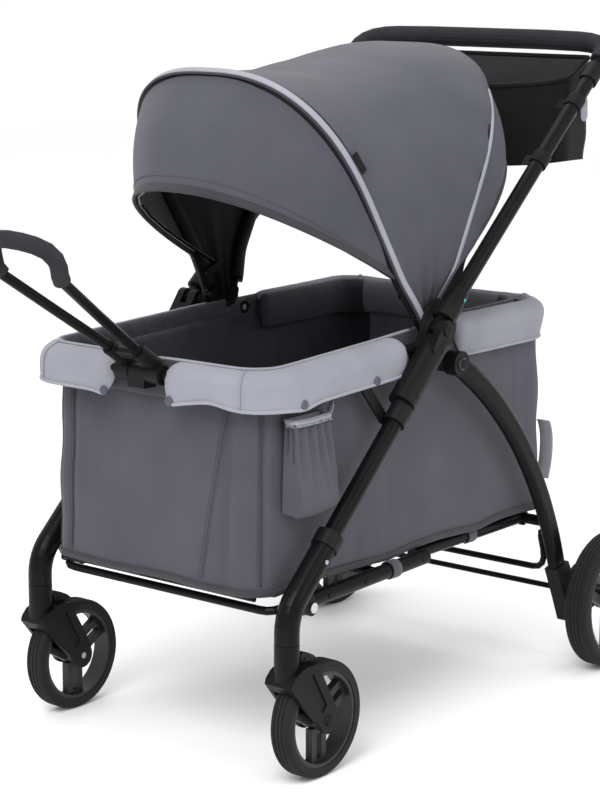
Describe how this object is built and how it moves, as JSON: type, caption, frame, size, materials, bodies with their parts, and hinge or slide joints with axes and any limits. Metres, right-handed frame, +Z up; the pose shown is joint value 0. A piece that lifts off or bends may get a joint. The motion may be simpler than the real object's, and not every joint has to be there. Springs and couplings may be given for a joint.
{
  "type": "folding stroller wagon",
  "caption": "Folding stroller wagon with a fabric tub, a canopy, a push handle behind and a pull handle in front.",
  "frame": {"origin": "on the floor under the middle of the wagon's overall length and width", "axes": "+Z up, -Y towards the front (the pull handle and the casters), +X towards the wagon's left-hand side"},
  "size_m": [0.654, 1.2498, 1.082],
  "materials": {
    "frame_tube": "satin black powder coat",
    "moulding": "fine matte grain",
    "pin_steel": "dull zinc",
    "wheel_plastic": "matte dark grey",
    "wheel_tyre": "foamed rubber, matte",
    "foam_grip": "closed-cell foam, matte",
    "canopy_cloth": "heathered grey woven polyester",
    "tub_cloth": "heathered grey woven polyester",
    "liner_cloth": "dark plain weave",
    "mat_cloth": "dark quilted cloth",
    "trim_cloth": "light grey padded cloth",
    "pocket_cloth": "heathered grey cloth with elastic top",
    "organiser_cloth": "dark cloth and mesh"
  },
  "bodies": {
    "front_frame": {"front_leg_left": "frame_tube", "front_leg_right": "frame_tube", "rail_lugs": "frame_tube", "leg_collars": "moulding", "hinge_housing_left": "moulding", "hinge_housing_right": "moulding", "hub_plate_left": "moulding", "hub_plate_right": "moulding", "frame_pivot_pins": "pin_steel", "front_top_rail": "frame_tube", "brace_bars": "moulding", "front_cross_bars": "frame_tube", "handle_bracket": "moulding", "canopy_rear_bow": "frame_tube", "canopy_rear_panel": "canopy_cloth", "canopy_roof": "canopy_cloth", "tub_shell": "tub_cloth", "tub_liner": "liner_cloth", "floor_mat": "mat_cloth", "rim_front": "trim_cloth", "side_pocket": "pocket_cloth"},
    "caster_left": {"caster_fork_left": "moulding", "front_axle_left": "pin_steel"},
    "caster_right": {"caster_fork_right": "moulding", "front_axle_right": "pin_steel"},
    "front_wheel_left": {"front_tyre_left": "wheel_tyre", "front_hub_left": "wheel_plastic"},
    "front_wheel_right": {"front_tyre_right": "wheel_tyre", "front_hub_right": "wheel_plastic"},
    "lock_left": {"swivel_lock_left": "moulding"},
    "lock_right": {"swivel_lock_right": "moulding"},
    "rear_legs": {"rear_leg_left": "frame_tube", "rear_leg_right": "frame_tube", "rear_axle_brackets": "moulding", "rear_axle": "frame_tube", "rear_cross_bar": "frame_tube"},
    "brake": {"brake_pedal": "moulding"},
    "rear_wheel_left": {"rear_tyre_left": "wheel_tyre", "rear_hub_left": "wheel_plastic"},
    "rear_wheel_right": {"rear_tyre_right": "wheel_tyre", "rear_hub_right": "wheel_plastic"},
    "rail_front": {"lower_rail_front": "frame_tube"},
    "rail_rear": {"lower_rail_rear": "frame_tube"},
    "rear_rim": {"rear_top_rail": "frame_tube", "rim_rear": "trim_cloth"},
    "push_handle": {"push_tube_left": "frame_tube", "push_tube_right": "frame_tube", "push_bar": "frame_tube", "push_grip": "foam_grip", "grip_ferrules": "moulding", "organiser": "organiser_cloth"},
    "release_left": {"release_sleeve_left": "moulding"},
    "release_right": {"release_sleeve_right": "moulding"},
    "pull_handle": {"pull_yoke": "moulding", "pull_frame": "frame_tube", "pull_grip": "foam_grip"},
    "canopy_middle": {"canopy_main_bow": "frame_tube"},
    "canopy_front": {"canopy_visor_wire": "frame_tube", "canopy_visor": "canopy_cloth"}
  },
  "joints": [
    {"name": "main_fold", "type": "hinge", "parent": "front_frame", "child": "rear_legs", "pos_m": [0, 0.1075, 0.58], "axis": [1, 0, 0], "range_deg": [-58, 0], "deforming": ["tub_shell", "tub_liner", "floor_mat"]},
    {"name": "rail_front_fold", "type": "hinge", "parent": "front_frame", "child": "rail_front", "pos_m": [0, -0.2505, 0.262], "axis": [1, 0, 0], "range_deg": [0, 46.3]},
    {"name": "rail_rear_fold", "type": "hinge", "parent": "rear_legs", "child": "rail_rear", "pos_m": [0, 0.3735, 0.2715], "axis": [1, 0, 0], "range_deg": [-24.8, 0]},
    {"name": "rear_rim_fold", "type": "hinge", "parent": "front_frame", "child": "rear_rim", "pos_m": [0, 0.1235, 0.622], "axis": [1, 0, 0], "range_deg": [-93.5, 0]},
    {"name": "push_fold", "type": "hinge", "parent": "front_frame", "child": "push_handle", "pos_m": [0, 0.0555, 0.641], "axis": [1, 0, 0], "range_deg": [0, 115], "deforming": ["organiser"]},
    {"name": "release_left_slide", "type": "slide", "parent": "push_handle", "child": "release_left", "axis": [0, 0.7547, 0.6561], "range_m": [0, 0.012]},
    {"name": "release_right_slide", "type": "slide", "parent": "push_handle", "child": "release_right", "axis": [0, 0.7547, 0.6561], "range_m": [0, 0.012]},
    {"name": "canopy_fold", "type": "hinge", "parent": "front_frame", "child": "canopy_middle", "pos_m": [0, 0.0845, 0.617], "axis": [1, 0, 0], "range_deg": [-36, 0], "deforming": ["canopy_roof"]},
    {"name": "visor_fold", "type": "hinge", "parent": "canopy_middle", "child": "canopy_front", "pos_m": [0, 0.0595, 0.7], "axis": [1, 0, 0], "range_deg": [-28, 0], "deforming": ["canopy_visor"]},
    {"name": "pull_handle_swing", "type": "hinge", "parent": "front_frame", "child": "pull_handle", "pos_m": [0, -0.3425, 0.6], "axis": [1, 0, 0], "range_deg": [-40, 100]},
    {"name": "rear_wheel_left_spin", "type": "hinge", "parent": "rear_legs", "child": "rear_wheel_left", "pos_m": [0.305, 0.5085, 0.117], "axis": [1, 0, 0], "continuous": true},
    {"name": "rear_wheel_right_spin", "type": "hinge", "parent": "rear_legs", "child": "rear_wheel_right", "pos_m": [-0.305, 0.5085, 0.117], "axis": [1, 0, 0], "continuous": true},
    {"name": "brake_press", "type": "hinge", "parent": "rear_legs", "child": "brake", "pos_m": [0.222, 0.5085, 0.117], "axis": [1, 0, 0], "range_deg": [-15, 0]},
    {"name": "caster_left_swivel", "type": "hinge", "parent": "front_frame", "child": "caster_left", "pos_m": [0.255, -0.3115, 0.2], "axis": [0, 0, 1], "continuous": true},
    {"name": "front_wheel_left_spin", "type": "hinge", "parent": "caster_left", "child": "front_wheel_left", "pos_m": [0.255, -0.2425, 0.09], "axis": [1, 0, 0], "continuous": true},
    {"name": "swivel_lock_left_press", "type": "hinge", "parent": "caster_left", "child": "lock_left", "pos_m": [0.255, -0.2805, 0.193], "axis": [1, 0, 0], "range_deg": [0, 6]},
    {"name": "caster_right_swivel", "type": "hinge", "parent": "front_frame", "child": "caster_right", "pos_m": [-0.255, -0.3115, 0.2], "axis": [0, 0, 1], "continuous": true},
    {"name": "front_wheel_right_spin", "type": "hinge", "parent": "caster_right", "child": "front_wheel_right", "pos_m": [-0.255, -0.2425, 0.09], "axis": [1, 0, 0], "continuous": true},
    {"name": "swivel_lock_right_press", "type": "hinge", "parent": "caster_right", "child": "lock_right", "pos_m": [-0.255, -0.2805, 0.193], "axis": [1, 0, 0], "range_deg": [0, 6]}
  ],
  "couplings": [
    {"joint": "rail_front_fold", "follows": "main_fold", "ratio": -0.797},
    {"joint": "rail_rear_fold", "follows": "main_fold", "ratio": 0.427},
    {"joint": "rear_rim_fold", "follows": "main_fold", "ratio": 1.61}
  ]
}
